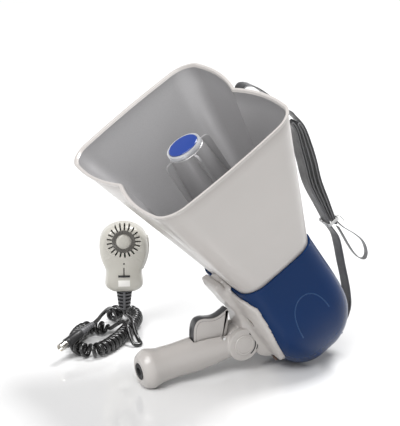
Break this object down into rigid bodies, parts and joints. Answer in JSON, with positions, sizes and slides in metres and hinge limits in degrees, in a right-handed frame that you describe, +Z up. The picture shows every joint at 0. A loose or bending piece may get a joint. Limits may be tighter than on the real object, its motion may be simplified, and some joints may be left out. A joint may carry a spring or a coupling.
{
  "type": "handheld megaphone",
  "caption": "Handheld megaphone with a rectangular horn, folding pistol grip with trigger, carrying strap and a separate fist microphone on a curly cord.",
  "frame": {"origin": "centre of the bounding box of the megaphone and its microphone, on the surface that they stand on", "axes": "+Z up from that surface, +Y out of the megaphone's control panel and socket, -X towards the grip's butt; the horn leans 33.5 degrees from +Z towards -X"},
  "size_m": [0.3539, 0.357, 0.3469],
  "materials": {
    "bell_plastic": "satin off-white outside, metallic silver inside",
    "silver_plastic": "satin silver paint on moulded plastic",
    "blue_plastic": "gloss",
    "black_plastic": "matte",
    "screw_steel": "zinc plated",
    "diaphragm_film": "thin film",
    "plated_steel": "zinc plated",
    "magnet_ferrite": "sintered",
    "black_rubber": "matte",
    "knob_plastic": "fine texture",
    "nickel_plated": "nickel plated",
    "led_lens": "tinted lens",
    "board_green": "solder mask",
    "cell_jacket": "printed jacket, plain",
    "white_plastic": "satin off-white",
    "strap_fabric": "woven nylon",
    "tie_wire": "clear coated wire",
    "trigger_plastic": "satin, dark grey rim",
    "spring_steel": "drawn wire",
    "relief_rubber": "matte ribbed",
    "cord_rubber": "satin"
  },
  "bodies": {
    "megaphone": {"amplifier_board": "board_green", "badge_disc": "blue_plastic", "baffle_plate": "black_plastic", "baffle_screws": "screw_steel", "battery_cells": "cell_jacket", "battery_contacts": "nickel_plated", "battery_tray": "black_plastic", "control_panel": "black_plastic", "door_hinge_pin": "plated_steel", "driver_back_plate": "plated_steel", "driver_diaphragm": "diaphragm_film", "driver_frame": "black_plastic", "driver_magnet": "magnet_ferrite", "driver_top_plate": "plated_steel", "front_lug": "white_plastic", "horn_bell": "bell_plastic", "mic_socket": "nickel_plated", "pivot_bolt": "screw_steel", "pivot_nut": "screw_steel", "pivot_washers": "plated_steel", "power_led": "led_lens", "rear_housing": "blue_plastic", "reflector_cup": "silver_plastic", "saddle": "white_plastic", "saddle_screws": "screw_steel", "seam_gasket": "black_rubber", "strap_bundle": "strap_fabric", "strap_tail": "strap_fabric", "strap_tie": "tie_wire", "strap_webbing": "strap_fabric", "throat_tube": "silver_plastic", "volume_pot": "plated_steel"},
    "volume_knob": {"volume_knob": "knob_plastic"},
    "mode_switch": {"mode_slider": "knob_plastic"},
    "battery_door": {"battery_door": "blue_plastic"},
    "door_lock": {"door_lock": "knob_plastic"},
    "grip": {"grip_left_shell": "white_plastic", "grip_right_shell": "white_plastic", "pivot_caps": "white_plastic", "grip_screws": "screw_steel", "butt_bush": "black_rubber", "trigger_pin": "plated_steel", "trigger_spring": "spring_steel", "trigger_switch": "black_plastic"},
    "trigger": {"trigger": "trigger_plastic"},
    "microphone": {"mic_front_shell": "white_plastic", "mic_rear_shell": "white_plastic", "mic_capsule": "plated_steel", "mic_board": "board_green", "mic_screws": "screw_steel", "mic_button": "nickel_plated", "mic_relief": "relief_rubber", "cord_coil": "cord_rubber", "cord_mic_lead": "cord_rubber", "cord_plug_lead": "cord_rubber", "plug_relief": "relief_rubber", "plug_body": "black_plastic", "plug_contact": "nickel_plated"},
    "ptt_lever": {"ptt_lever": "white_plastic"},
    "mic_switch": {"mic_switch": "knob_plastic"}
  },
  "joints": [
    {"name": "volume_turn", "type": "hinge", "parent": "megaphone", "child": "volume_knob", "pos_m": [0.03472, 0.03952, 0.08388], "axis": [0, -1, 0], "range_deg": [0, 270]},
    {"name": "mode_slide", "type": "slide", "parent": "megaphone", "child": "mode_switch", "axis": [-0.5519, 0, 0.8339], "range_m": [0, 0.006]},
    {"name": "battery_door_hinge", "type": "hinge", "parent": "megaphone", "child": "battery_door", "pos_m": [0.05752, 0.03242, 0.07841], "axis": [0.8339, 0, 0.5519], "range_deg": [0, 100]},
    {"name": "door_lock_turn", "type": "hinge", "parent": "battery_door", "child": "door_lock", "pos_m": [0.08228, 0.02002, 0.041], "axis": [0.2815, 0.8601, -0.4253], "range_deg": [0, 90]},
    {"name": "grip_fold", "type": "hinge", "parent": "megaphone", "child": "grip", "pos_m": [-0.00776, -0.03098, 0.03717], "axis": [0, -1, 0], "range_deg": [0, 74]},
    {"name": "trigger_pull", "type": "hinge", "parent": "grip", "child": "trigger", "pos_m": [-0.03124, -0.03098, 0.04727], "axis": [0, -1, 0], "range_deg": [0, 7], "stiffness_Nm_per_rad": 0.6, "springref_deg": -8.59},
    {"name": "mic_lift", "type": "slide", "parent": "megaphone", "child": "microphone", "axis": [0, 0, 1], "range_m": [0, 0.08]},
    {"name": "ptt_squeeze", "type": "slide", "parent": "microphone", "child": "ptt_lever", "axis": [-0.9135, 0.4067, 0], "range_m": [0, 0.002], "stiffness_N_per_m": 900, "springref_m": -0.002},
    {"name": "mic_switch_slide", "type": "slide", "parent": "microphone", "child": "mic_switch", "axis": [0, 0, 1], "range_m": [0, 0.009]}
  ]
}
